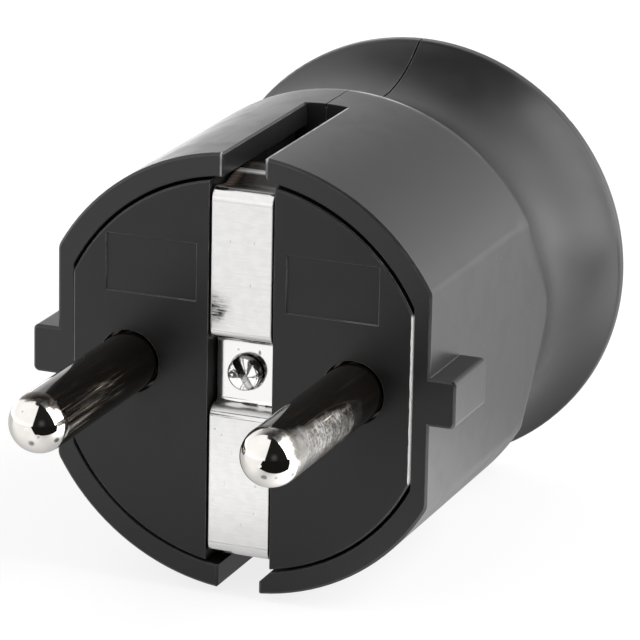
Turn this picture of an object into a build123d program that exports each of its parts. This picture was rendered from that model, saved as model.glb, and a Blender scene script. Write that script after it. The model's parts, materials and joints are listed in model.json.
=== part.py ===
"""Rewirable two-pole mains plug with side earth contacts, in two moulded half shells.

Frame: millimetres. The origin is the centre of the engagement face. The pins point to -Y, the cord
enters from +Y, +X is the right-hand side seen from the pins' side, and +Z is up. The two half shells
meet in the plane X = 0, and the earth strap runs down the front in that plane.
"""
import os
from math import hypot, isclose, sqrt

from build123d import *

os.makedirs("parts", exist_ok=True)

# Pins
pin_d = 4.8                 # diameter of the contact pins
pin_reach = 19.0            # length in front of the engagement face
pin_pitch = 19.0            # distance between the pins' axes
shank_step = 0.2            # the shank in the carrier is thicker by this, which leaves a ring round the pin
relief_len = 0.9            # turned relief between pin and shank
relief_cut = 0.2
head_r = 3.4                # terminal head behind the carrier
head_len = 8.4
head_room = 0.2             # clearance round the terminal heads
wire_r = 1.6                # wire hole in a terminal
wire_floor = 1.6            # solid metal in front of the wire hole

# Housing, outside
hood_r = 18.0               # radius of the front hood
flat_half = 15.75           # half the width across the side flats
corner_r = 1.2              # rounding between flats and arcs
rim_back = 0.2              # the rim stands this far behind the carrier's face
shoulder_y = 22.4           # where the hood ends at top and bottom
neck_curve = 13.8           # radius of the hollow neck
neck_drop = 0.2             # the neck is this much smaller than the flats
flare_r = 18.5              # radius of the rear flange
flange_land = 1.5           # straight part of the flange's edge
flange_round = 0.7
rim_bevel = 0.2             # bevel of the front rim's edges
bevel_angle = 45.0

# Keying ears on the flats
ear_height = 3.9
ear_out = 2.15
ear_len = 6.8
ear_round = 0.45

# Housing, inside
rim_wall = 1.9              # wall of the hood at its arcs
flat_wall = 1.45            # wall of the hood at its flats
seat_bevel = 0.1            # bevel of the carrier's seat
neck_wall = 2.15
end_wall = 2.8              # wall behind the cavity
flare_room = 1.1            # the cavity widens by this in the flange
root = 0.5                  # depth to which inner ribs grow into the wall
stop_t = 2.0                # stops behind the terminal heads
entry_r = 4.5               # cord entry
entry_chamfer = 0.8

# Earth slots
slot_w = 3.5
slot_end = 4.9              # solid hood between slot and shoulder
upper_chamfer = 0.45        # inner corner of the right shell's edge at the upper slot
lower_chamfer = 0.9         # and at the lower slot
slot_bevel = 0.15           # bevel of the slots' outer edges
joint_gap = 0.18            # open joint between the shells on the flange
joint_line = 0.14           # the same on the shoulder
joint_depth = 0.35

# Pin carrier
carrier_depth = 12.0
carrier_gap = 0.22          # gap to the rim along the arcs
carrier_bevel = 0.12
key_tip = 1.5               # half width of the dovetail keys at the tip
key_root = 1.1              # and at the flat
key_high = 1.1
key_start = 3.5             # distance of the keys from the face
key_fit = 0.06              # clearance round the keys
field_w, field_h = 7.7, 4.7     # shallow sunk fields on the face
field_x, field_z = 7.65, 8.05
field_depth = 0.15

# Earth strap
strap_w = 5.1
strap_t = 0.7
strap_set = 0.1             # its front lies this far behind the face
strap_side = 0.2            # clearance to each side of its channel
strap_edge = 0.58           # its front bends lie this far inside the carrier's edge
strap_bend = 0.9            # outside radius of the bends
plate_half = 2.6            # half height of the sunk middle plate
plate_slope = 0.3           # lean of the steps beside the plate
plate_set = 1.6             # depth of the middle plate's front
plate_bend = 0.4
plate_room = 0.4            # clearance of the strap's steps in the carrier
plate_hole_r = 1.48
valley_y, valley_in = 2.6, 0.55     # dip behind the front bend
crown_y, crown_out = 5.8, 0.55      # contact crown of each leg
leg_bend = 1.4
leg_in = 0.6                # the leg's straight tail lies this far inside strap_top
tail_run = 1.5              # length of the tail that rests on the carrier
tail_gap = 0.5              # gap from the tail to the slot's end

# Centre screw and nut
screw_r = 1.5
screw_room = 0.2
screw_head_r = 2.7
screw_head_h = 2.1
screw_head_gap = 0.2        # between strap plate and screw head
screw_head_room = 0.25
screw_tip = 0.5             # the screw ends this far behind the nut
driver_slot = 0.6
driver_depth = 1.0
driver_angle = 32.0
hub_gap = 0.11              # between the head's hub and the hole in the plate
hub_proud = 1.0             # the hub stands this far out of the plate
hub_round = 0.25
nut_af = 5.5
nut_t = 2.4
nut_fit = 0.1
nut_cover = 1.4             # web in front of the nut and behind it
web_half = 3.7
web_below = 4.6             # the web ends this far below the axis

# Terminal screws
thread_r = 1.25
cap_slot = 0.8              # depth of the small screws' driver slots
screw_cap_r = 2.1
screw_cap_h = 1.5
screw_grip = 1.2            # the screws reach this far into the wire holes
terminal_flat = 0.5         # depth of the flat that the screw head meets

# Earth terminal
block_w = 5.0
block_high = 6.4
block_gap = 0.5             # gap between carrier and block
block_lid = 1.0             # metal over the wire hole
rivet_r = 0.9
rivet_in = 1.6              # rivet length inside the block
block_round = 0.6

# Cord clamp
clamp_gap = 1.4             # gap between the clamp and the snap hooks behind it
clamp_len = 4.4
clamp_z = 7.4
clamp_t = 4.6
clamp_lift = 1.0            # bosses end this far past the joint plane
clamp_boss_r = 2.4
clamp_round = 1.2
cord_r = 4.2
saddle_screw_r = 1.3
saddle_head_r = 2.2
saddle_head_h = 1.6
saddle_screw_in = 7.0

# Location of the halves
peg_r = 1.0
peg_len = 2.2
peg_fit = 0.08
peg_web_z = 9.2
peg_end_z = 11.5
hook_z = 9.0
hook_t = 1.4
hook_w = 2.3
hook_root = 5.0
hook_reach = 3.6
hook_barb = 0.6
hook_nose = 1.0
hook_fit = 0.1

# Derived sizes
pin_x = pin_pitch / 2
pin_r = pin_d / 2
shank_r = pin_r + shank_step
neck_r = flat_half - neck_drop
blank_r = max(hood_r, flare_r) + 1.5
recess_r = hood_r - rim_wall
recess_flat = flat_half - flat_wall
cavity_r = neck_r - neck_wall
slot_len = shoulder_y - slot_end
carrier_r = recess_r - carrier_gap
channel_half = strap_w / 2 + strap_side
strap_back = strap_set + strap_t
plate_back = plate_set + strap_t
head_front = plate_back + screw_head_gap
head_seat = head_front + screw_head_h
hub_r = plate_hole_r - hub_gap
hub_front = plate_set - hub_proud
strap_top = carrier_r - strap_edge
leg_out = strap_top - leg_in
leg_floor = leg_out - strap_t
leg_end = slot_len - tail_gap
channel_roof = sqrt(recess_r**2 - (slot_w / 2) ** 2)
channel_floor = cavity_r - root
stop_y = carrier_depth + head_len
stop_in, stop_out = pin_x - head_r, cavity_r + root
web_len = nut_t + 2 * nut_cover
nut_y = slot_len + nut_cover
block_y = carrier_depth + block_gap
block_len = leg_end - block_y
block_top = leg_floor - block_high
block_mid = block_y + block_len / 2
earth_wire_z = block_top + block_lid + wire_r
tail_y = carrier_depth - tail_run
pocket_half = plate_half + plate_slope + strap_t + plate_room
terminal_y = carrier_depth + (wire_floor + head_len) / 2
terminal_z = head_r - terminal_flat
saddle_top = clamp_lift + clamp_t
catch_x = hook_reach - hook_nose - hook_fit
catch_z = hook_z + hook_t + hook_fit


def neck_span(r, inset=0.0):
    """Distance along the axis from the neck to where its hollow, sunk by the inset, has the radius r."""
    return sqrt((neck_curve + inset) ** 2 - (neck_r + neck_curve - r) ** 2)


neck_y = shoulder_y + neck_span(hood_r)
flare_y = neck_y + neck_span(flare_r)
rear_y = flare_y + flange_land
end_y = rear_y - end_wall
clamp_front = end_y - hook_w - clamp_gap - clamp_len
clamp_y = clamp_front + clamp_len / 2


def flank(y, inset=0.0):
    """Radius of the hollow neck at the depth y, sunk by the inset."""
    return neck_r + neck_curve - sqrt((neck_curve + inset) ** 2 - (y - neck_y) ** 2)


def outside_seat(edge):
    """True for an edge of the rim that isn't on the mouth of the carrier's seat."""
    middle = edge @ 0.5
    room = 2 * rim_bevel
    return abs(middle.X) > recess_flat + room or hypot(middle.X, middle.Z) > recess_r + room


def on_slot(edge):
    """True for the long outer edges of the earth slots."""
    middle = edge @ 0.5
    return isclose(abs(middle.X), slot_w / 2) and isclose(hypot(middle.X, middle.Z), hood_r)


def station(y):
    """Upright plane across the plug at the depth y; a negative extrusion from it runs to the rear."""
    return Plane.XZ.offset(-y)


# Both half shells are cut from one housing, which is first made whole about the plug's axis.
with BuildPart() as housing:
    # Front: a round blank with a hollow flank, trimmed to the hood's section with its two flats.
    with BuildSketch(Plane.XY):
        with BuildLine():
            blank_y = neck_y - neck_span(blank_r)
            middle = (blank_y + neck_y) / 2
            Polyline((neck_r, neck_y), (0, neck_y), (0, rim_back), (blank_r, rim_back), (blank_r, blank_y))
            ThreePointArc((blank_r, blank_y), (flank(middle), middle), (neck_r, neck_y))
        make_face()
    revolve(axis=Axis.Y)
    with BuildSketch(station(rim_back)) as hood_section:
        Circle(hood_r)
        Rectangle(2 * flat_half, 4 * hood_r, mode=Mode.INTERSECT)
        fillet(hood_section.vertices(), corner_r)
    extrude(amount=rim_back - neck_y, mode=Mode.INTERSECT)
    # Rear: the other flank of the neck, ending in the rounded flange.
    with BuildSketch(Plane.XY) as flange:
        with BuildLine():
            middle = (neck_y + flare_y) / 2
            ThreePointArc((neck_r, neck_y), (flank(middle), middle), (flare_r, flare_y))
            Polyline((flare_r, flare_y), (flare_r, rear_y), (0, rear_y), (0, neck_y), (neck_r, neck_y))
        make_face()
        fillet(flange.vertices().group_by(Axis.X)[-1], flange_round)
    revolve(axis=Axis.Y)
    # Keying ears in the middle of the flats.
    with BuildSketch(station(rim_back)) as ears:
        Rectangle(2 * (flat_half + ear_out), ear_height)
        fillet(ears.vertices(), ear_round)
    extrude(amount=-ear_len)
    # Seat of the pin carrier.
    with BuildSketch(station(rim_back)):
        Circle(recess_r)
        Rectangle(2 * recess_flat, 4 * hood_r, mode=Mode.INTERSECT)
    extrude(amount=rim_back - carrier_depth, mode=Mode.SUBTRACT)
    # Wiring cavity and cord entry.
    with BuildSketch(Plane.XY):
        with BuildLine():
            Polyline((0, carrier_depth), (cavity_r, carrier_depth), (cavity_r, clamp_y),
                     (cavity_r + flare_room, end_y), (entry_r, end_y), (entry_r, rear_y - entry_chamfer),
                     (entry_r + entry_chamfer, rear_y), (0, rear_y), (0, carrier_depth))
        make_face()
    revolve(axis=Axis.Y, mode=Mode.SUBTRACT)
    # Wells for the pins' terminal heads.
    with BuildSketch(station(carrier_depth)):
        with Locations((pin_x, 0), (-pin_x, 0)):
            Circle(head_r + head_room)
    extrude(amount=-head_len, mode=Mode.SUBTRACT)
    # Dovetail keys on the flats, which hold the halves to the carrier.
    with BuildSketch(station(key_start)):
        with BuildLine():
            Polyline((recess_flat, key_root), (recess_flat - key_high, key_tip),
                     (recess_flat - key_high, -key_tip), (recess_flat, -key_root), (recess_flat, key_root))
        make_face()
        mirror(about=Plane.YZ)
    extrude(amount=key_start - carrier_depth)
    # Stops behind the terminal heads, each with a hole for its wire.
    with BuildSketch(station(stop_y)):
        with Locations(((stop_in + stop_out) / 2, 0), (-(stop_in + stop_out) / 2, 0)):
            Rectangle(stop_out - stop_in, 2 * head_r)
        with Locations((pin_x, 0), (-pin_x, 0)):
            Circle(wire_r + head_room, mode=Mode.SUBTRACT)
    extrude(amount=-stop_t)
    # Web in the joint plane, which parts the terminals and traps the nut.
    with BuildSketch(station(slot_len)):
        with Locations((0, (cavity_r + root - web_below) / 2)):
            Rectangle(2 * web_half, cavity_r + root + web_below)
        Circle(screw_r + screw_room, mode=Mode.SUBTRACT)
    extrude(amount=-web_len)
    with BuildSketch(station(nut_y)):
        RegularPolygon(nut_af / 2 + nut_fit, 6, major_radius=False)
    extrude(amount=-nut_t, mode=Mode.SUBTRACT)
    # Earth slots in the hood, and the wider channels under them for the strap's legs.
    with BuildSketch(station(rim_back)):
        with Locations((0, hood_r), (0, -hood_r)):
            Rectangle(slot_w, 2 * (hood_r - leg_floor))
    extrude(amount=rim_back - slot_len, mode=Mode.SUBTRACT)
    with BuildSketch(station(carrier_depth)):
        with Locations((0, (channel_roof + channel_floor) / 2), (0, -(channel_roof + channel_floor) / 2)):
            Rectangle(2 * channel_half, channel_roof - channel_floor)
    extrude(amount=carrier_depth - slot_len, mode=Mode.SUBTRACT)
    # Bevels of the rim, of the slots' lips and of the seat.
    rim = housing.edges().group_by(Axis.Y)[0]
    chamfer(rim.filter_by(outside_seat), rim_bevel)
    lips = housing.edges().filter_by(Axis.Y).filter_by(on_slot)
    chamfer(lips, slot_bevel)
    with BuildSketch(station(rim_back)):
        Circle(recess_r + seat_bevel)
        Rectangle(2 * (recess_flat + seat_bevel), 4 * hood_r, mode=Mode.INTERSECT)
    extrude(amount=-seat_bevel, taper=bevel_angle, mode=Mode.SUBTRACT)
    # Joint between the halves: a hairline over the shoulder, then an open gap on the flange.
    with BuildSketch(Plane.YZ):
        with BuildLine():
            edge_y = neck_y - neck_span(hood_r - joint_depth, joint_depth)
            middle = (edge_y + neck_y) / 2
            Polyline((neck_y, neck_r - joint_depth), (neck_y, blank_r), (slot_len, blank_r),
                     (slot_len, hood_r - joint_depth), (edge_y, hood_r - joint_depth))
            ThreePointArc((edge_y, hood_r - joint_depth), (middle, flank(middle, joint_depth)),
                          (neck_y, neck_r - joint_depth))
        make_face()
        mirror(about=Plane.XZ)
    extrude(amount=joint_line / 2, both=True, mode=Mode.SUBTRACT)
    with BuildSketch(Plane.YZ):
        with BuildLine():
            edge_y = neck_y + neck_span(flare_r - joint_depth, joint_depth)
            middle = (edge_y + neck_y) / 2
            Polyline((neck_y, neck_r - joint_depth), (neck_y, blank_r), (rear_y, blank_r),
                     (rear_y, flare_r - joint_depth), (edge_y, flare_r - joint_depth))
            ThreePointArc((edge_y, flare_r - joint_depth), (middle, flank(middle, joint_depth)),
                          (neck_y, neck_r - joint_depth))
        make_face()
        mirror(about=Plane.XZ)
    extrude(amount=joint_gap / 2, both=True, mode=Mode.SUBTRACT)

# Left half: pegs, snap hooks and the cord clamp's bosses.
with BuildPart() as shell_left:
    add(housing.part)
    split(bisect_by=Plane.YZ, keep=Keep.BOTTOM)
    with BuildSketch(Plane.YZ):
        with Locations((slot_len + web_len / 2, peg_web_z), (end_y + end_wall / 2, peg_end_z),
                       (end_y + end_wall / 2, -peg_end_z)):
            Circle(peg_r)
    extrude(amount=peg_len)
    with BuildSketch(station(clamp_front)):
        with Locations((-(cavity_r + root) / 2, 0)):
            Rectangle(cavity_r + root, 2 * clamp_z)
        Circle(cord_r, mode=Mode.SUBTRACT)
        Circle(cavity_r + root, mode=Mode.INTERSECT)
    extrude(amount=-clamp_len)
    with BuildSketch(Plane.YZ.offset(clamp_lift)):
        with Locations((clamp_y, clamp_z), (clamp_y, -clamp_z)):
            Circle(clamp_boss_r)
    extrude(amount=-clamp_lift - sqrt(cavity_r**2 - clamp_z**2) - root)
    with BuildSketch(Plane.YZ.offset(clamp_lift)):
        with Locations((clamp_y, clamp_z), (clamp_y, -clamp_z)):
            Circle(saddle_screw_r)
    extrude(amount=-saddle_screw_in, mode=Mode.SUBTRACT)
    for side in (1, -1):
        with BuildSketch(Plane.XY.offset(side * hook_z)):
            with BuildLine():
                Polyline((-hook_root, end_y + root), (-hook_root, end_y - hook_w),
                         (hook_reach, end_y - hook_w), (hook_reach, end_y - hook_fit),
                         (0, end_y - hook_fit), (0, end_y + root), close=True)
            make_face()
        extrude(amount=side * hook_t)
        with BuildSketch(station(end_y - hook_w)):
            barb_z = side * (hook_z + hook_t)
            with BuildLine():
                Polyline((hook_reach, barb_z), (hook_reach - hook_nose, barb_z),
                         (hook_reach - hook_nose, barb_z + side * hook_barb), close=True)
            make_face()
        extrude(amount=hook_fit - hook_w)
shell_left.part.label = "shell_left"
export_step(shell_left.part, "parts/shell_left.step")

# Right half: holes for the pegs, catches for the hooks, and slot edges with chamfered inner corners.
with BuildPart() as shell_right:
    add(housing.part)
    split(bisect_by=Plane.YZ, keep=Keep.TOP)
    for side, cut in ((1, upper_chamfer), (-1, lower_chamfer)):
        with BuildSketch(station(rim_back)):
            with BuildLine():
                Polyline((slot_w / 2, side * (channel_roof - cut)), (slot_w / 2, side * (channel_roof + cut)),
                         (slot_w / 2 + 2 * cut, side * (channel_roof - cut)), close=True)
            make_face()
        extrude(amount=rim_back - carrier_depth, mode=Mode.SUBTRACT)
    for side in (1, -1):
        with BuildSketch(station(end_y - hook_w)):
            with Locations((catch_x / 2, side * (catch_z + cavity_r + flare_room) / 2)):
                Rectangle(catch_x, cavity_r + flare_room - catch_z)
        extrude(amount=-hook_w - root)
    with BuildSketch(Plane.YZ):
        with Locations((slot_len + web_len / 2, peg_web_z), (end_y + end_wall / 2, peg_end_z),
                       (end_y + end_wall / 2, -peg_end_z)):
            Circle(peg_r + peg_fit)
    extrude(amount=peg_len + peg_fit, mode=Mode.SUBTRACT)
shell_right.part.label = "shell_right"
export_step(shell_right.part, "parts/shell_right.step")

# Carrier: the moulded insert that holds the pins, the strap and the centre screw.
with BuildPart() as pin_carrier:
    with BuildSketch(station(0)):
        Circle(carrier_r)
        Rectangle(2 * recess_flat, 4 * hood_r, mode=Mode.INTERSECT)
    extrude(amount=-carrier_depth)
    chamfer(pin_carrier.edges().group_by(Axis.Y)[0], carrier_bevel)
    with BuildSketch(station(0)):
        Rectangle(2 * channel_half, 4 * hood_r)
    extrude(amount=-strap_back, mode=Mode.SUBTRACT)
    with BuildSketch(station(0)):
        Rectangle(2 * channel_half, 2 * pocket_half)
    extrude(amount=-plate_back, mode=Mode.SUBTRACT)
    with BuildSketch(station(0)):
        with Locations((0, hood_r), (0, -hood_r)):
            Rectangle(2 * channel_half, 2 * (hood_r - leg_floor))
    extrude(amount=-carrier_depth, mode=Mode.SUBTRACT)
    with BuildSketch(station(plate_back)):
        Circle(screw_head_r + screw_head_room)
    extrude(amount=plate_back - head_seat, mode=Mode.SUBTRACT)
    with BuildSketch(station(head_seat)):
        Circle(screw_r + screw_room)
    extrude(amount=head_seat - carrier_depth, mode=Mode.SUBTRACT)
    with BuildSketch(station(0)):
        with Locations((pin_x, 0), (-pin_x, 0)):
            Circle(shank_r)
    extrude(amount=-carrier_depth, mode=Mode.SUBTRACT)
    with BuildSketch(station(0)):
        with Locations((field_x, field_z), (-field_x, field_z)):
            Rectangle(field_w, field_h)
    extrude(amount=-field_depth, mode=Mode.SUBTRACT)
    with BuildSketch(station(key_start - key_fit)):
        with BuildLine():
            Polyline((recess_flat, key_root + key_fit), (recess_flat - key_high - key_fit, key_tip + key_fit),
                     (recess_flat - key_high - key_fit, -key_tip - key_fit),
                     (recess_flat, -key_root - key_fit), close=True)
        make_face()
        mirror(about=Plane.YZ)
    extrude(amount=key_start - key_fit - carrier_depth, mode=Mode.SUBTRACT)
pin_carrier.part.label = "pin_carrier"
export_step(pin_carrier.part, "parts/pin_carrier.step")

# Pins: turned with a round tip, and with a terminal head behind the carrier.
with BuildPart() as pin_right:
    with BuildSketch(Plane.XY):
        with BuildLine():
            CenterArc((pin_x, pin_r - pin_reach), pin_r, -90, 90)
            Polyline((pin_x + pin_r, pin_r - pin_reach), (pin_x + pin_r, 0), (pin_x + pin_r - relief_cut, 0),
                     (pin_x + pin_r - relief_cut, relief_len), (pin_x + shank_r, relief_len),
                     (pin_x + shank_r, carrier_depth), (pin_x + head_r, carrier_depth),
                     (pin_x + head_r, stop_y), (pin_x, stop_y), (pin_x, -pin_reach))
        make_face()
    revolve(axis=Axis((pin_x, 0, 0), (0, 1, 0)))
    with BuildSketch(station(carrier_depth)):
        with Locations((pin_x, head_r)):
            Rectangle(2 * head_r, 2 * terminal_flat)
    extrude(amount=-head_len, mode=Mode.SUBTRACT)
    with BuildSketch(station(carrier_depth + wire_floor)):
        with Locations((pin_x, 0)):
            Circle(wire_r)
    extrude(amount=wire_floor - head_len, mode=Mode.SUBTRACT)
    with BuildSketch(Plane.XY.offset(terminal_z)):
        with Locations((pin_x, terminal_y)):
            Circle(thread_r)
    extrude(amount=-terminal_z, mode=Mode.SUBTRACT)
pin_right.part.label = "pin_right"
export_step(pin_right.part, "parts/pin_right.step")

with BuildPart() as pin_left:
    mirror(pin_right.part, about=Plane.YZ)
pin_left.part.label = "pin_left"
export_step(pin_left.part, "parts/pin_left.step")

# Terminal screws of the pins.
with BuildPart() as terminal_screw_right:
    with BuildSketch(Plane.XY.offset(terminal_z)):
        with Locations((pin_x, terminal_y)):
            Circle(screw_cap_r)
    extrude(amount=screw_cap_h)
    with BuildSketch(Plane.XY.offset(terminal_z)):
        with Locations((pin_x, terminal_y)):
            Circle(thread_r)
    extrude(amount=wire_r - screw_grip - terminal_z)
    with BuildSketch(Plane.XY.offset(terminal_z + screw_cap_h)):
        with Locations((pin_x, terminal_y)):
            Rectangle(driver_slot, 3 * screw_cap_r)
    extrude(amount=-cap_slot, mode=Mode.SUBTRACT)
terminal_screw_right.part.label = "terminal_screw_right"
export_step(terminal_screw_right.part, "parts/terminal_screw_right.step")

with BuildPart() as terminal_screw_left:
    mirror(terminal_screw_right.part, about=Plane.YZ)
terminal_screw_left.part.label = "terminal_screw_left"
export_step(terminal_screw_left.part, "parts/terminal_screw_left.step")

# Earth strap: one bent strip, sunk in the middle for the screw, with a sprung crown on each leg.
with BuildPart() as earth_strap:
    with BuildSketch(Plane.YZ):
        with BuildLine() as strip:
            FilletPolyline((leg_end, leg_out), (tail_y, leg_out), (crown_y, strap_top + crown_out),
                           (valley_y, strap_top - valley_in), (strap_set, strap_top),
                           (strap_set, plate_half + plate_slope), (plate_set, plate_half), (plate_set, 0),
                           radius=[leg_bend, leg_bend, leg_bend, strap_bend, strap_bend, plate_bend])
            offset(amount=strap_t, side=Side.LEFT)
        make_face()
        mirror(about=Plane.XZ)
    extrude(amount=strap_w / 2, both=True)
    with BuildSketch(station(plate_set)):
        Circle(plate_hole_r)
    extrude(amount=-strap_t, mode=Mode.SUBTRACT)
    with BuildSketch(Plane.XY.offset(-leg_out)):
        with Locations((0, block_mid)):
            Circle(rivet_r)
    extrude(amount=strap_t, mode=Mode.SUBTRACT)
earth_strap.part.label = "earth_strap"
export_step(earth_strap.part, "parts/earth_strap.step")

# Earth terminal, riveted to the lower leg.
with BuildPart() as earth_terminal:
    with BuildSketch(station(block_y)) as block:
        with Locations((0, -(leg_floor + block_top) / 2)):
            Rectangle(block_w, block_high)
        fillet(block.vertices().group_by(Axis.Z)[-1], block_round)
        with Locations((0, -earth_wire_z)):
            Circle(wire_r, mode=Mode.SUBTRACT)
    extrude(amount=-block_len)
    with BuildSketch(Plane.XY.offset(-block_top)):
        with Locations((0, block_mid)):
            Circle(thread_r)
    extrude(amount=block_top - earth_wire_z, mode=Mode.SUBTRACT)
    with BuildSketch(Plane.XY.offset(-leg_floor)):
        with Locations((0, block_mid)):
            Circle(rivet_r)
    extrude(amount=rivet_in, mode=Mode.SUBTRACT)
earth_terminal.part.label = "earth_terminal"
export_step(earth_terminal.part, "parts/earth_terminal.step")

with BuildPart() as earth_rivet:
    with BuildSketch(Plane.XY.offset(-leg_out)):
        with Locations((0, block_mid)):
            Circle(rivet_r)
    extrude(amount=strap_t + rivet_in)
earth_rivet.part.label = "earth_rivet"
export_step(earth_rivet.part, "parts/earth_rivet.step")

with BuildPart() as earth_terminal_screw:
    with BuildSketch(Plane.XY.offset(-block_top)):
        with Locations((0, block_mid)):
            Circle(screw_cap_r)
    extrude(amount=screw_cap_h)
    with BuildSketch(Plane.XY.offset(-block_top)):
        with Locations((0, block_mid)):
            Circle(thread_r)
    extrude(amount=-block_lid - screw_grip)
    with BuildSketch(Plane.XY.offset(screw_cap_h - block_top)):
        with Locations((0, block_mid)):
            Rectangle(driver_slot, 3 * screw_cap_r)
    extrude(amount=-cap_slot, mode=Mode.SUBTRACT)
earth_terminal_screw.part.label = "earth_terminal_screw"
export_step(earth_terminal_screw.part, "parts/earth_terminal_screw.step")

# Centre screw: its head lies behind the strap's plate and its slotted hub comes through the plate's hole.
# The web traps its nut.
with BuildPart() as centre_screw:
    with BuildSketch(station(head_front)):
        Circle(screw_head_r)
    extrude(amount=-screw_head_h)
    with BuildSketch(station(head_seat)):
        Circle(screw_r)
    extrude(amount=head_seat - nut_y - nut_t - screw_tip)
    with BuildSketch(station(hub_front)):
        Circle(hub_r)
    extrude(amount=hub_front - head_front)
    fillet(centre_screw.edges().group_by(Axis.Y)[0], hub_round)
    with BuildSketch(station(hub_front)):
        Rectangle(driver_slot, 3 * hub_r, rotation=driver_angle)
    extrude(amount=-driver_depth, mode=Mode.SUBTRACT)
centre_screw.part.label = "centre_screw"
export_step(centre_screw.part, "parts/centre_screw.step")

with BuildPart() as centre_nut:
    with BuildSketch(station(nut_y)):
        RegularPolygon(nut_af / 2, 6, major_radius=False)
        Circle(screw_r, mode=Mode.SUBTRACT)
    extrude(amount=-nut_t)
centre_nut.part.label = "centre_nut"
export_step(centre_nut.part, "parts/centre_nut.step")

# Cord clamp: a saddle on the left half's bosses, and its two screws.
with BuildPart() as cord_clamp:
    with BuildSketch(station(clamp_front)) as saddle:
        with Locations((clamp_lift + clamp_t / 2, 0)):
            Rectangle(clamp_t, 2 * (clamp_z + clamp_boss_r))
        fillet(saddle.vertices().group_by(Axis.X)[-1], clamp_round)
        Circle(cord_r, mode=Mode.SUBTRACT)
    extrude(amount=-clamp_len)
    with BuildSketch(Plane.YZ.offset(saddle_top)):
        with Locations((clamp_y, clamp_z), (clamp_y, -clamp_z)):
            Circle(saddle_screw_r)
    extrude(amount=-clamp_t, mode=Mode.SUBTRACT)
cord_clamp.part.label = "cord_clamp"
export_step(cord_clamp.part, "parts/cord_clamp.step")

with BuildPart() as clamp_screw_upper:
    with BuildSketch(Plane.YZ.offset(saddle_top)):
        with Locations((clamp_y, clamp_z)):
            Circle(saddle_head_r)
    extrude(amount=saddle_head_h)
    with BuildSketch(Plane.YZ.offset(saddle_top)):
        with Locations((clamp_y, clamp_z)):
            Circle(saddle_screw_r)
    extrude(amount=-clamp_t - saddle_screw_in)
    with BuildSketch(Plane.YZ.offset(saddle_top + saddle_head_h)):
        with Locations((clamp_y, clamp_z)):
            Rectangle(driver_slot, 3 * saddle_head_r)
    extrude(amount=-cap_slot, mode=Mode.SUBTRACT)
clamp_screw_upper.part.label = "clamp_screw_upper"
export_step(clamp_screw_upper.part, "parts/clamp_screw_upper.step")

with BuildPart() as clamp_screw_lower:
    mirror(clamp_screw_upper.part, about=Plane.XY)
clamp_screw_lower.part.label = "clamp_screw_lower"
export_step(clamp_screw_lower.part, "parts/clamp_screw_lower.step")
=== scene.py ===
# %% [markdown]
# A round mains plug with side earth contacts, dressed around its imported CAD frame.
# The solids already carry the plug's real shapes, so most of this lesson is about finishes:
# satin moulded plastic, bright nickel on turned pins, rolled strip and a torn screw head.
# Everything is in metres, in the frame of the CAD: the pins point along -Y and +Z is up.

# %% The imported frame
import json
import math

import bpy
import numpy as np
from mathutils import Matrix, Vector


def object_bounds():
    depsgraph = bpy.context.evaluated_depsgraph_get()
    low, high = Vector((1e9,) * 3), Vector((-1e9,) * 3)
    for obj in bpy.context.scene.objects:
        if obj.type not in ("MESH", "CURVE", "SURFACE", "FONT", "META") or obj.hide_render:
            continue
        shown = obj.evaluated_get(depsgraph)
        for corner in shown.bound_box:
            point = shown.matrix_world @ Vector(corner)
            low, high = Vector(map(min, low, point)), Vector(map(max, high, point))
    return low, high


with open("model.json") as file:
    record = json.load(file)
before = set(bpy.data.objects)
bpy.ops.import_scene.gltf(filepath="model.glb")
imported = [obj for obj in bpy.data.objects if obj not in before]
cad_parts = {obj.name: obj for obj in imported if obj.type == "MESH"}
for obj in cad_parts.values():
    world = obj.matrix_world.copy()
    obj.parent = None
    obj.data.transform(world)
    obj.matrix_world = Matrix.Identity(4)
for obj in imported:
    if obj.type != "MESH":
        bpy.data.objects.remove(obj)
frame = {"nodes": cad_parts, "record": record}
cad_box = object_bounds()
MM = 0.001
print("nodes:", len(frame["nodes"]), "CAD box in mm:", [[round(c / MM, 2) for c in p] for p in cad_box])

# %% [markdown]
# The camera comes first, because every finish is judged through it. The pins have known sizes,
# so a camera was fitted to them: it stands well back with a long lens, a little to the right of
# the pins and above them, and leans over by one degree. A camera looks along its own -Z, so the
# three columns of its matrix are its right, its up and the direction back to the lens.

# %% Camera
VIEW_AZIMUTH, VIEW_HEIGHT, VIEW_LEAN = (math.radians(a) for a in (21.404, 17.2, 1.108))
VIEW_TARGET = np.array([6.66, 0.0, 5.558]) * MM
VIEW_DISTANCE = 366.97 * MM
SENSOR = 36.0
FOCAL_PIXELS, FRAME_PIXELS = 4739.0, 640.0
CLIP_NEAR, CLIP_FAR = 0.01, 20.0

back = np.array([math.sin(VIEW_AZIMUTH) * math.cos(VIEW_HEIGHT),
                 -math.cos(VIEW_AZIMUTH) * math.cos(VIEW_HEIGHT), math.sin(VIEW_HEIGHT)])
level = np.array([math.cos(VIEW_AZIMUTH), math.sin(VIEW_AZIMUTH), 0.0])
rise = np.cross(back, level)
right = math.cos(VIEW_LEAN) * level + math.sin(VIEW_LEAN) * rise
up = math.cos(VIEW_LEAN) * rise - math.sin(VIEW_LEAN) * level
pose = np.eye(4)
pose[:3, 0], pose[:3, 1], pose[:3, 2] = right, up, back
pose[:3, 3] = VIEW_TARGET + VIEW_DISTANCE * back

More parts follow.
